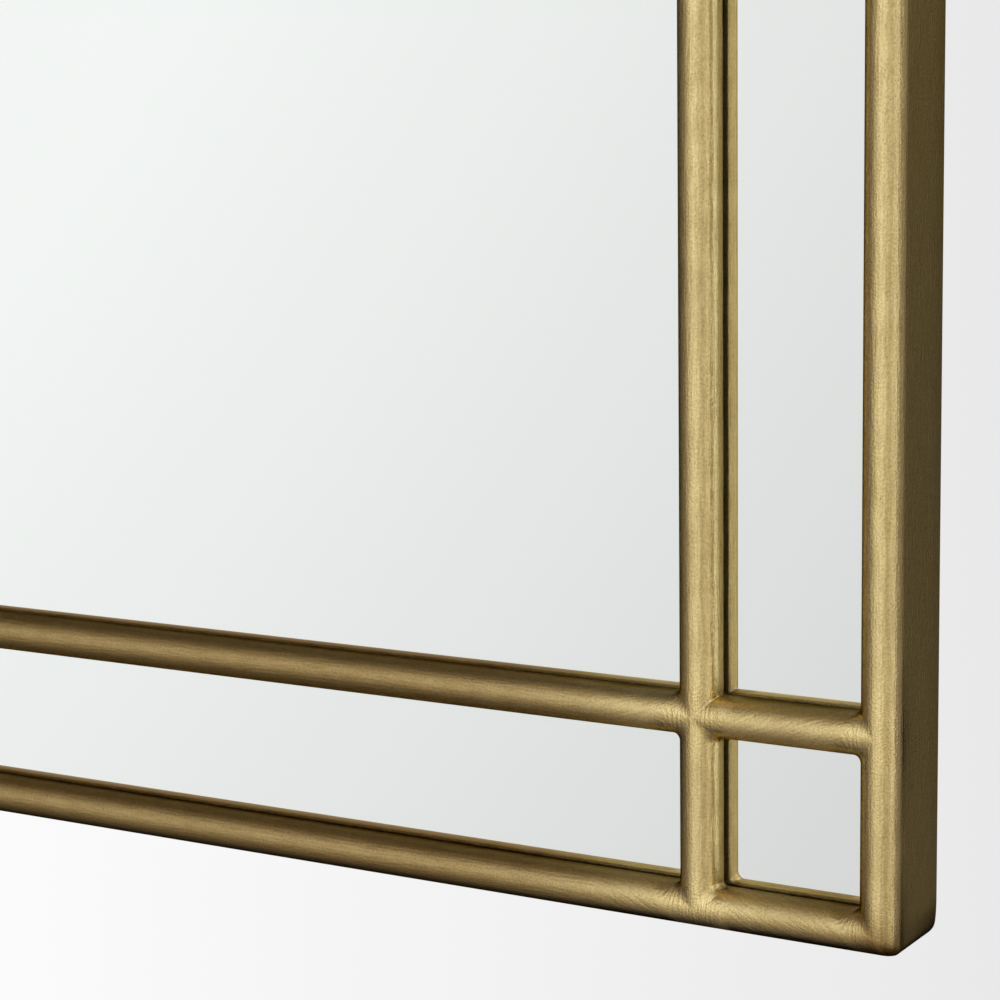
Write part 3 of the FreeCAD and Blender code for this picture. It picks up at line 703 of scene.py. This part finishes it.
def screw_tree():
    """Pan-head screws on points: the head towards the wall, with a cross recess and its own turn."""
    sizes = ["Head Radius", "Head Height", "Shank Radius", "Shank Length", *SCREW_RECESS]
    tree, given = geometry_tree("pan_head_screws", sizes, ["Seed"])
    cells = {0: 1.0, 1: 1.0, 2: SCREW_SIDES + 1, 3: DOME_RINGS}
    grid = result(tree, "GeometryNodeMeshGrid", cells)
    place = result(tree, "GeometryNodeInputPosition")
    split = add(tree, "ShaderNodeSeparateXYZ", {0: place}).outputs
    turn = maths(tree, "MULTIPLY_ADD", split[0], 2 * math.pi, math.pi)
    climb = maths(tree, "MULTIPLY_ADD", split[1], math.pi / 2, math.pi / 4)
    narrow = maths(tree, "MAXIMUM", maths(tree, "COSINE", climb), 0.0)
    narrow = maths(tree, "POWER", narrow, DOME_NARROWING)
    reach = maths(tree, "MULTIPLY", narrow, given["Head Radius"])
    rise = maths(tree, "POWER", maths(tree, "MAXIMUM", maths(tree, "SINE", climb), 0.0), DOME_RISE)
    dome = result(tree, "ShaderNodeCombineXYZ", {
        0: maths(tree, "MULTIPLY", reach, maths(tree, "COSINE", turn)),
        1: maths(tree, "MULTIPLY", rise, given["Head Height"]),
        2: maths(tree, "MULTIPLY", reach, maths(tree, "SINE", turn)),
    })
    head = result(tree, "GeometryNodeSetPosition", {"Geometry": grid, "Position": dome})
    size = {"Vertices": SCREW_SIDES, "Radius": given["Head Radius"]}
    base = result(tree, "GeometryNodeMeshCircle", size, fill_type="NGON")
    on_edge = (math.pi / 2, 0, 0)
    base = result(tree, "GeometryNodeTransform", {0: base, "Rotation": on_edge})
    head = joined(tree, head, base)
    head = result(tree, "GeometryNodeMergeByDistance", {"Geometry": head, "Distance": MERGE})
    top = result(tree, "ShaderNodeCombineXYZ", {1: given["Head Height"]})
    depth = maths(tree, "MULTIPLY", given["Recess Depth"], 2.0)
    slots = []
    for first, last in (("Recess Length", "Recess Width"), ("Recess Width", "Recess Length")):
        size = result(tree, "ShaderNodeCombineXYZ", {0: given[first], 1: depth, 2: given[last]})
        slot = result(tree, "GeometryNodeMeshCube", {"Size": size})
        slots.append(result(tree, "GeometryNodeTransform", {0: slot, "Translation": top}))
    for slot in slots:
        parts = {0: head, 1: slot}
        head = result(tree, "GeometryNodeMeshBoolean", parts, operation="DIFFERENCE", solver="EXACT")
    shank = result(tree, "GeometryNodeMeshCylinder", {
        "Vertices": SHANK_SIDES,
        "Radius": given["Shank Radius"],
        "Depth": given["Shank Length"],
    })
    middle = maths(tree, "MULTIPLY", given["Shank Length"], -0.5)
    sunk = result(tree, "ShaderNodeCombineXYZ", {1: middle})
    place = {0: shank, "Translation": sunk, "Rotation": on_edge}
    shank = result(tree, "GeometryNodeTransform", place)
    screw = joined(tree, head, shank)
    draw = {3: math.pi, "Seed": given["Seed"]}
    spin = add(tree, "FunctionNodeRandomValue", draw, data_type="FLOAT").outputs[1]
    spin = result(tree, "ShaderNodeCombineXYZ", {1: spin})
    spin = result(tree, "FunctionNodeEulerToRotation", {0: spin})
    placed = result(tree, "GeometryNodeInstanceOnPoints", {
        "Points": given["Geometry"],
        "Instance": screw,
        "Rotation": spin,
    })
    end_tree(tree, placed, given["Material"])
    return tree


def joined(tree, *parts):
    join = tree.nodes.new("GeometryNodeJoinGeometry")
    for part in parts:
        tree.links.new(part, join.inputs[0])
    return join.outputs[0]


def bead_tree():
    """A rippled weld bead along each edge."""
    tree, given = geometry_tree("weld_beads", list(BEAD))
    line = result(tree, "GeometryNodeMeshToCurve", {0: given["Geometry"]})
    steps = {"Curve": line, "Length": given["Step"]}
    line = result(tree, "GeometryNodeResampleCurve", steps, mode="LENGTH")
    along = add(tree, "GeometryNodeSplineParameter").outputs["Length"]
    wave = maths(tree, "DIVIDE", along, given["Ripple Pitch"])
    wave = maths(tree, "SINE", maths(tree, "MULTIPLY", wave, 2 * math.pi))
    swell = maths(tree, "MULTIPLY_ADD", wave, given["Ripple Depth"], 1.0)
    size = {"Resolution": BEAD_SIDES, "Radius": given["Bead Radius"]}
    section = result(tree, "GeometryNodeCurvePrimitiveCircle", size)
    bead = result(tree, "GeometryNodeCurveToMesh", {
        "Curve": line,
        "Profile Curve": section,
        "Scale": swell,
        "Fill Caps": True,
    })
    end_tree(tree, bead, given["Material"])
    return tree


def grown(name, tree, points, edges, values):
    """The plain mesh that a tree makes on points or edges."""
    ground = bpy.data.meshes.new(f"{name}_places")
    ground.from_pydata(points, edges, [])
    piece = bpy.data.objects.new(name, ground)
    bpy.context.scene.collection.objects.link(piece)
    modifier = piece.modifiers.new("growth", "NODES")
    modifier.node_group = tree
    for socket in tree.interface.items_tree:
        if socket.in_out == "INPUT" and socket.name in values:
            modifier[socket.identifier] = values[socket.name]
    make_plain(piece)
    piece.data.set_sharp_from_angle(angle=math.radians(SHARP_EDGE))
    return piece


def screws(node, name, tree, values, material):
    """Every screw of a node, each on the seat of its head."""
    boxes = islands(node)
    seats = []
    for low, high in boxes:
        middle = (low + high) / 2
        seats.append((middle.x, high.y - SCREW_HEAD_HEIGHT, middle.z))
    low, high = boxes[0]
    head = {"Head Radius": (high.x - low.x) / 2, "Head Height": SCREW_HEAD_HEIGHT}
    return grown(name, tree, seats, [], {**head, **SCREW_RECESS, **values, "Material": material})


def plate_beads(tree, material):
    """One bead at the back of each hanger plate, where it meets the stile."""
    points, edges = [], []
    for hand, end in (("right", 1), ("left", 0)):
        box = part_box(f"{hand}_hanger_plate")
        low, high = box
        count = len(points)
        points += [(box[end].x, high.y, z) for z in (low.z + BEAD_INSET, high.z - BEAD_INSET)]
        edges.append((count, count + 1))
    return grown("hanger_plate_welds", tree, points, edges, {**BEAD, "Material": material})


# Materials.

BRASS_LIGHT = (0.93, 0.735, 0.33, 1)
BRASS_SHADE = (0.58, 0.425, 0.165, 1)
# The colour that painted shade multiplies into the brass.
BRASS_PAINTED_SHADE = (0.28, 0.175, 0.08, 1)
BRASS_PIT = (0.42, 0.30, 0.12, 1)
BRASS_EDGE = (0.12, 0.106, 0.09, 1)
BRASS_STROKES = {"Along": 70, "Across": 1000}
BRASS_SPECKLE = {"Scale": 1100, "Detail": 2, "Low": 0.36, "High": 0.64}
BRASS_CLOUD = {"Scale": 80, "Detail": 5}
BRASS_PITS = {"Scale": 1500, "Detail": 1, "Low": 0.22, "High": 0.36}
BRASS_SPECKLE_SHARE = 0.5
BRASS_CLOUD_SHARE = 0.3
BRASS_GRAIN_DEPTH = 0.09 * MM
BRASS_ROUGHNESS = (0.43, 0.35)
BRASS_STROKE_SHEEN = 0.8
GLASS_TINT = (0.985, 0.995, 0.988, 1)
GLASS_INDEX = 1.52
SILVER_TINT = (0.94, 0.96, 0.945, 1)
ZINC_LIGHT = (0.70, 0.69, 0.64, 1)
ZINC_SHADE = (0.46, 0.45, 0.42, 1)
ZINC_LINES = {"Along": 120, "Across": 2200}
ZINC_SPOTS = {"Scale": 260}
ZINC_SPOT_SHARE = 0.6
ZINC_LINE_DEPTH = 0.008 * MM
ZINC_ROUGHNESS = (0.52, 0.34)
BOARD_LIGHT = (0.50, 0.36, 0.22, 1)
BOARD_SHADE = (0.33, 0.22, 0.12, 1)
BOARD_FIBRES = {"Scale": 900, "Detail": 4}
BOARD_CLUMPS = {"Scale": 70, "Detail": 5}
BOARD_DRIFT = {"Scale": 6}
BOARD_CLUMP_SHARE = 0.45
BOARD_DRIFT_SHARE = 0.2
BOARD_FIBRE_DEPTH = 0.06 * MM
BOARD_ROUGHNESS = (0.85, 0.68)
FOAM_LIGHT = (0.075, 0.075, 0.08, 1)
FOAM_SHADE = (0.03, 0.03, 0.034, 1)
FOAM_CELLS = {"Scale": 1400, "Detail": 2}
FOAM_CELL_DEPTH = 0.15 * MM
FOAM_ROUGHNESS = 0.95
FLOOR_LIGHT = (0.86, 0.86, 0.85, 1)
FLOOR_SHADE = (0.80, 0.80, 0.79, 1)
FLOOR_CLOUD = {"Scale": 3}
FLOOR_ROUGHNESS = 0.9


def new_material(name):
    material = bpy.data.materials.new(name)
    material.use_nodes = True
    material.node_tree.nodes.clear()
    return material, material.node_tree


def add(tree, kind, values=None, **settings):
    """A node with its settings and its inputs, by name or number."""
    node = tree.nodes.new(kind)
    for name, value in settings.items():
        setattr(node, name, value)
    for name, value in (values or {}).items():
        socket = node.inputs[name]
        if isinstance(value, bpy.types.NodeSocket):
            tree.links.new(value, socket)
        else:
            socket.default_value = value
    return node


def result(tree, kind, values=None, **settings):
    """The first output of a new node."""
    return add(tree, kind, values, **settings).outputs[0]


def blend(tree, share, first, second, kind="MIX"):
    """A colour between two, or between one and its mixture with the other."""
    values = {0: share, 6: first, 7: second}
    return add(tree, "ShaderNodeMix", values, data_type="RGBA", blend_type=kind).outputs[2]


def between(tree, share, first, second):
    """A value between two."""
    return result(tree, "ShaderNodeMix", {0: share, 2: first, 3: second})


def relief(tree, depth, height):
    """The way that a skin faces over a relief of some depth."""
    values = {"Strength": 1.0, "Distance": depth, "Height": height}
    return result(tree, "ShaderNodeBump", values)


def object_place(tree):
    """Coordinates of a piece's own space."""
    return add(tree, "ShaderNodeTexCoord").outputs["Object"]


def ranged(tree, value, low, high):
    """A value from 0 to 1 spread over another range."""
    return result(tree, "ShaderNodeMapRange", {0: value, 3: low, 4: high})


def shader_group(name, inputs, output):
    tree = bpy.data.node_groups.new(name, "ShaderNodeTree")
    tree.interface.new_socket("Vector", in_out="INPUT", socket_type="NodeSocketVector")
    for label, value in inputs.items():
        socket = tree.interface.new_socket(label, in_out="INPUT", socket_type="NodeSocketFloat")
        socket.default_value = value
    tree.interface.new_socket(output, in_out="OUTPUT", socket_type="NodeSocketFloat")
    return tree, add(tree, "NodeGroupInput").outputs


def brush_group():
    """Fine strokes that run along the first of two coordinates."""
    tree, given = shader_group("brush_strokes", {"Along": 350, "Across": 1600}, "Strokes")
    scale = result(tree, "ShaderNodeCombineXYZ", {0: given["Along"], 1: given["Across"], 2: 1.0})
    sizes = {0: given["Vector"], 1: scale}
    place = result(tree, "ShaderNodeVectorMath", sizes, operation="MULTIPLY")
    noise = result(tree, "ShaderNodeTexNoise", {"Vector": place, "Scale": 1.0, "Detail": 4.0})
    strokes = result(tree, "ShaderNodeMapRange", {0: noise, 1: 0.35, 2: 0.65})
    add(tree, "NodeGroupOutput", {0: strokes})
    return tree


def mottle_group():
    """Cloudy spots of one size, from 0 to 1."""
    tree, given = shader_group("mottle", {"Scale": 40, "Detail": 3, "Low": 0.3, "High": 0.7}, "Mottle")
    noise = result(tree, "ShaderNodeTexNoise", {
        "Vector": given["Vector"],
        "Scale": given["Scale"],
        "Detail": given["Detail"],
    })
    spots = result(tree, "ShaderNodeMapRange", {0: noise, 1: given["Low"], 2: given["High"]})
    add(tree, "NodeGroupOutput", {0: spots})
    return tree


def placed_group(tree, group, vector, **values):
    return result(tree, "ShaderNodeGroup", {"Vector": vector, **values}, node_tree=group)


def finish_material(tree, **values):
    """End a material in one shader, with its values by socket name."""
    values = {name.replace("_", " "): value for name, value in values.items()}
    shader = result(tree, "ShaderNodeBsdfPrincipled", values)
    add(tree, "ShaderNodeOutputMaterial", {"Surface": shader})


def brass_material(brush, mottle):
    """Brass brushed along the bars and filed across them at the welds, with painted shade darkening its
    corners, crevices, flanks and level bars.
    """
    material, tree = new_material("antique_brass")
    bar = result(tree, "ShaderNodeUVMap", uv_map="bar")
    place = object_place(tree)
    painted_shade = add(tree, "ShaderNodeAttribute", attribute_name="painted_shade").outputs["Fac"]
    filed = add(tree, "ShaderNodeAttribute", attribute_name="filed").outputs["Fac"]
    strokes = placed_group(tree, brush, bar, **BRASS_STROKES)
    speckle = placed_group(tree, mottle, place, **BRASS_SPECKLE)
    cloud = placed_group(tree, mottle, place, **BRASS_CLOUD)
    pits = placed_group(tree, mottle, place, **BRASS_PITS)
    grain = between(tree, BRASS_SPECKLE_SHARE, strokes, speckle)
    tone = between(tree, BRASS_CLOUD_SHARE, grain, cloud)
    gold = blend(tree, tone, BRASS_SHADE, BRASS_LIGHT)
    gold = blend(tree, pits, BRASS_PIT, gold)
    # Painted shade multiplies the brass colour darker.
    colour = blend(tree, painted_shade, gold, BRASS_PAINTED_SHADE, "MULTIPLY")
    tangent = result(tree, "ShaderNodeTangent", direction_type="UV_MAP", uv_map="bar")
    sheen = ranged(tree, filed, 1.0, FILED_SHEEN)
    rough = maths(tree, "MULTIPLY", ranged(tree, tone, *BRASS_ROUGHNESS), sheen)
    finish_material(tree, Base_Color=colour, Metallic=1.0, Roughness=rough, Specular_Tint=BRASS_EDGE,
                    Anisotropic=BRASS_STROKE_SHEEN, Tangent=tangent,
                    Normal=relief(tree, BRASS_GRAIN_DEPTH, grain))
    return material


def glass_material():
    """Clear glass with a faint green tint."""
    material, tree = new_material("clear_glass")
    finish_material(tree, Base_Color=GLASS_TINT, Roughness=0.0, IOR=GLASS_INDEX, Transmission_Weight=1.0)
    return material


def silver_material():
    """The silver on the back of the glass."""
    material, tree = new_material("silvering")
    finish_material(tree, Base_Color=SILVER_TINT, Metallic=1.0, Roughness=0.0)
    return material


def zinc_material(brush, mottle):
    """Zinc plate with rolling lines and dull spots."""
    material, tree = new_material("zinc_steel")
    place = object_place(tree)
    lines = placed_group(tree, brush, place, **ZINC_LINES)
    spots = placed_group(tree, mottle, place, **ZINC_SPOTS)
    tone = between(tree, ZINC_SPOT_SHARE, lines, spots)
    colour = blend(tree, tone, ZINC_SHADE, ZINC_LIGHT)
    rough = ranged(tree, tone, *ZINC_ROUGHNESS)
    finish_material(tree, Base_Color=colour, Metallic=1.0, Roughness=rough,
                    Normal=relief(tree, ZINC_LINE_DEPTH, lines))
    return material


def board_material(mottle):
    """Fibreboard: pressed fibres of several browns."""
    material, tree = new_material("fibreboard")
    place = object_place(tree)
    fibres = placed_group(tree, mottle, place, **BOARD_FIBRES)
    clumps = placed_group(tree, mottle, place, **BOARD_CLUMPS)
    drift = placed_group(tree, mottle, place, **BOARD_DRIFT)
    tone = between(tree, BOARD_CLUMP_SHARE, fibres, clumps)
    tone = between(tree, BOARD_DRIFT_SHARE, tone, drift)
    colour = blend(tree, tone, BOARD_SHADE, BOARD_LIGHT)
    rough = ranged(tree, tone, *BOARD_ROUGHNESS)
    finish_material(tree, Base_Color=colour, Roughness=rough,
                    Normal=relief(tree, BOARD_FIBRE_DEPTH, fibres))
    return material


def foam_material(mottle):
    """Open-cell foam."""
    material, tree = new_material("foam_tape")
    cells = placed_group(tree, mottle, object_place(tree), **FOAM_CELLS)
    colour = blend(tree, cells, FOAM_SHADE, FOAM_LIGHT)
    finish_material(tree, Base_Color=colour, Roughness=FOAM_ROUGHNESS,
                    Normal=relief(tree, FOAM_CELL_DEPTH, cells))
    return material


def floor_material(mottle):
    """A pale floor that fades out at its rim."""
    material, tree = new_material("pale_floor")
    place = object_place(tree)
    cloud = placed_group(tree, mottle, place, **FLOOR_CLOUD)
    colour = blend(tree, cloud, FLOOR_SHADE, FLOOR_LIGHT)
    flat = result(tree, "ShaderNodeVectorMath", {0: place, 1: (1, 1, 0)}, operation="MULTIPLY")
    reach = add(tree, "ShaderNodeVectorMath", {0: flat}, operation="LENGTH").outputs["Value"]
    fade = {0: reach, 1: FLOOR_FADE * FLOOR_REACH, 2: FLOOR_REACH, 3: 1.0, 4: 0.0}
    shown = result(tree, "ShaderNodeMapRange", fade, interpolation_type="SMOOTHSTEP")
    finish_material(tree, Base_Color=colour, Roughness=FLOOR_ROUGHNESS, Alpha=shown)
    return material


# Studio.

STUDIO_AROUND = [
    (-180, 0.02), (-125, 0.03), (-95, 0.08), (-76, 0.18), (-60, 0.33), (-47, 0.54), (-35, 0.84),
    (-23, 1.18), (-12, 1.34), (-2, 1.45), (8, 1.38), (18, 1.20), (38, 0.90), (48, 0.78), (58, 0.92),
    (68, 1.14), (80, 1.38), (89, 1.38), (92, 0.46), (114, 0.40), (130, 0.44), (137, 0.42), (143, 0.05),
    (180, 0.02),
]
STUDIO_UP = [
    (-90, 0.15), (-60, 0.24), (-46, 0.31), (-34, 0.40), (-22, 0.53), (-11, 0.70), (-1, 0.87),
    (9, 0.98), (18, 1.0), (28, 0.95), (40, 0.78), (62, 0.44), (90, 0.26),
]
STUDIO_TINT = [(0.12, (1.0, 0.92, 1.1)), (0.6, (1.0, 0.95, 0.84)), (1.2, (1.0, 1.07, 1.27))]
BESIDE_AROUND = [
    (-180, 0.05), (-50, 0.05), (-40, 0.2), (-30, 0.38), (0, 0.45), (30, 0.75), (55, 1.5), (75, 1.9),
    (90, 1.9), (180, 0.1),
]
BESIDE_UP = [(-90, 0.3), (-10, 0.9), (0, 1.0), (25, 1.0), (45, 0.6), (90, 0.45)]
BETWEEN_BARS = (0.25, 0.26, 0.26, 1)
BACKDROP_MIDDLE = 0.888
BACKDROP_SLOPE = -0.426
BACKDROP_RANGE = (0.81, 0.96)
GLASS_MIDDLE = 0.55
GLASS_SLOPE = (-0.70, 0, 0.32)
GLASS_RANGE = (0.70, 1.0)
FLOOR_DROP = 0.9
FLOOR_REACH = 1.5
FLOOR_FADE = 0.6
FLOOR_SIDES = 96
SECOND_BOUNCE = 1.5
BACK_LAMP = {"place": (0.5, 1.7, 1.3), "target": (0, 0, -0.1), "side": 1.2, "power": 60}
TOP_LAMP = {"place": (0, -0.2, 2.4), "target": (0, 0, 0), "side": 2.0, "power": 140}


def ramp(tree, value, stops):
    """A colour by a value, from stops in rising order."""
    lowest, highest = stops[0][0], stops[-1][0]
    share = result(tree, "ShaderNodeMapRange", {0: value, 1: lowest, 2: highest})
    colours = add(tree, "ShaderNodeValToRGB", {0: share})
    elements = colours.color_ramp.elements
    elements.remove(elements[1])
    for number, (stop, colour) in enumerate(stops):
        place = (stop - lowest) / (highest - lowest)
        element = elements[0] if number == 0 else elements.new(place)
        element.position = place
        element.color = (*colour, 1)
    return colours.outputs[0]


def glow(tree, direction, around_stops, up_stops):
    """Light by azimuth from the front and by elevation, warm where it is dim."""
    split = add(tree, "ShaderNodeSeparateXYZ", {0: direction}).outputs
    around = maths(tree, "ARCTAN2", split[0], maths(tree, "MULTIPLY", split[1], -1.0))
    levels = []
    for angle, stops in ((around, around_stops), (maths(tree, "ARCSINE", split[2]), up_stops)):
        greys = [(math.radians(degrees), (level,) * 3) for degrees, level in stops]
        levels.append(ramp(tree, angle, greys))
    level = maths(tree, "MULTIPLY", *levels)
    tint = ramp(tree, level, STUDIO_TINT)
    return result(tree, "ShaderNodeVectorMath", {0: tint, "Scale": level}, operation="SCALE")


def paper(tree, direction, slope, middle, limits):
    """A pale tone that changes evenly along one direction."""
    ways = {0: direction, 1: slope}
    along = add(tree, "ShaderNodeVectorMath", ways, operation="DOT_PRODUCT").outputs["Value"]
    tone = maths(tree, "ADD", along, middle)
    return result(tree, "ShaderNodeClamp", {0: tone, 1: limits[0], 2: limits[1]})


def make_studio():
    """Soft light from the front, with pale paper behind the object and in the mirror."""
    world = bpy.data.worlds.new("studio")
    bpy.context.scene.world = world
    world.use_nodes = True
    tree = world.node_tree
    tree.nodes.clear()
    direction = add(tree, "ShaderNodeTexCoord").outputs["Generated"]
    light = glow(tree, direction, STUDIO_AROUND, STUDIO_UP)
    beside_bars = glow(tree, direction, BESIDE_AROUND, BESIDE_UP)
    yaw = math.radians(CAMERA_YAW)
    rightward = (BACKDROP_SLOPE * math.cos(yaw), BACKDROP_SLOPE * math.sin(yaw), 0)
    backdrop = paper(tree, direction, rightward, BACKDROP_MIDDLE, BACKDROP_RANGE)
    in_glass = paper(tree, direction, GLASS_SLOPE, GLASS_MIDDLE, GLASS_RANGE)
    path = add(tree, "ShaderNodeLightPath").outputs
    second_glance = maths(tree, "GREATER_THAN", path["Glossy Depth"], SECOND_BOUNCE)
    mirrored = blend(tree, second_glance, in_glass, beside_bars)
    light = blend(tree, second_glance, light, BETWEEN_BARS, "ADD")
    colour = blend(tree, path["Is Singular Ray"], light, mirrored)
    colour = blend(tree, path["Is Camera Ray"], colour, backdrop)
    background = result(tree, "ShaderNodeBackground", {0: colour})
    add(tree, "ShaderNodeOutputWorld", {0: background})


def make_lamp(name, place, target, side, power):
    data = bpy.data.lights.new(name, "AREA")
    data.shape = "SQUARE"
    data.size = side
    data.energy = power
    lamp = bpy.data.objects.new(name, data)
    bpy.context.scene.collection.objects.link(lamp)
    lamp.location = place
    lamp.rotation_euler = (Vector(target) - Vector(place)).to_track_quat("-Z", "Y").to_euler()
    lamp.visible_camera = False
    return lamp


def make_lamps():
    """A lamp behind for the back, and one above that lights the floor alone."""
    make_lamp("back_lamp", **BACK_LAMP)
    above = make_lamp("top_lamp", **TOP_LAMP)
    above.visible_glossy = False
    above.visible_transmission = False


def make_floor(material):
    mesh = bmesh.new()
    bmesh.ops.create_circle(mesh, cap_ends=True, segments=FLOOR_SIDES, radius=FLOOR_REACH)
    bmesh.ops.translate(mesh, verts=mesh.verts, vec=(0, 0, rail_low.z - FLOOR_DROP))
    floor = finished_mesh("floor", mesh)
    floor.data.materials.append(material)
    floor.visible_glossy = False
    floor.visible_transmission = False


def make_camera():
    data = bpy.data.cameras.new("camera")
    data.sensor_width = SENSOR
    data.lens = FOCAL_PIXELS / IMAGE_SIDE * SENSOR
    data.clip_start = CAMERA_NEAR
    camera = bpy.data.objects.new("camera", data)
    bpy.context.scene.collection.objects.link(camera)
    turn = Matrix.Rotation(math.radians(CAMERA_YAW), 4, "Z")
    turn = turn @ Matrix.Rotation(math.radians(90 - CAMERA_DROP), 4, "X")
    turn = turn @ Matrix.Rotation(math.radians(CAMERA_ROLL), 4, "Z")
    camera.matrix_world = Matrix.Translation(CAMERA_PLACE) @ turn
    bpy.context.scene.camera = camera


def settle_piece(piece, slot, body, *nodes, materials=()):
    """Give a piece its finish, its body and the nodes that it stands for."""
    for material in materials:
        piece.data.materials.append(material)
    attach(piece, body)
    if nodes:
        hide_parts(*nodes)


def main():
    bpy.context.scene.view_settings.view_transform = "Standard"
    brush, mottle = brush_group(), mottle_group()
    brass = brass_material(brush, mottle)
    zinc = zinc_material(brush, mottle)
    for node, piece in make_bars().items():
        settle_piece(piece, "antique_brass", "mirror", node, materials=[brass])
    panes = [glass_material(), silver_material()]
    settle_piece(make_pane(), "silvered_glass", "mirror", "mirror_pane", materials=panes)
    fittings = [
        ("backing_board", "fibre_board", BOARD_EDGE, "fibreboard", "mirror", board_material(mottle)),
        ("foam_strips", "foam_pads", FOAM_EDGE, "foam_tape", "mirror", foam_material(mottle)),
        ("retaining_tabs", "folded_tabs", TAB_EDGE, "zinc_steel", "mirror", zinc),
    ]
    for hand in ("right", "left"):
        fittings += [
            (f"{hand}_hanger_plate", f"{hand}_hanger_leaf", PLATE_EDGE, "antique_brass", "mirror", brass),
            (f"{hand}_hanger_strap", f"{hand}_folded_strap", STRAP_EDGE, "zinc_steel", "mirror", zinc),
            (f"{hand}_d_ring", f"{hand}_wire_ring", RING_EDGE, "zinc_steel", f"{hand}_ring", zinc),
        ]
    for node, name, edge, slot, body, material in fittings:
        settle_piece(dressed(node, name, edge), slot, body, node, materials=[material])
    tree = screw_tree()
    for node, name, values in (
        ("tab_screws", "tab_cross_screws", TAB_SCREW),
        ("hanger_screws", "hanger_cross_screws", HANGER_SCREW),
    ):
        settle_piece(screws(node, name, tree, values, zinc), "zinc_steel", "mirror", node)
    settle_piece(plate_beads(bead_tree(), brass), "antique_brass", "mirror")
    make_floor(floor_material(mottle))
    make_studio()
    make_lamps()
    make_camera()


main()
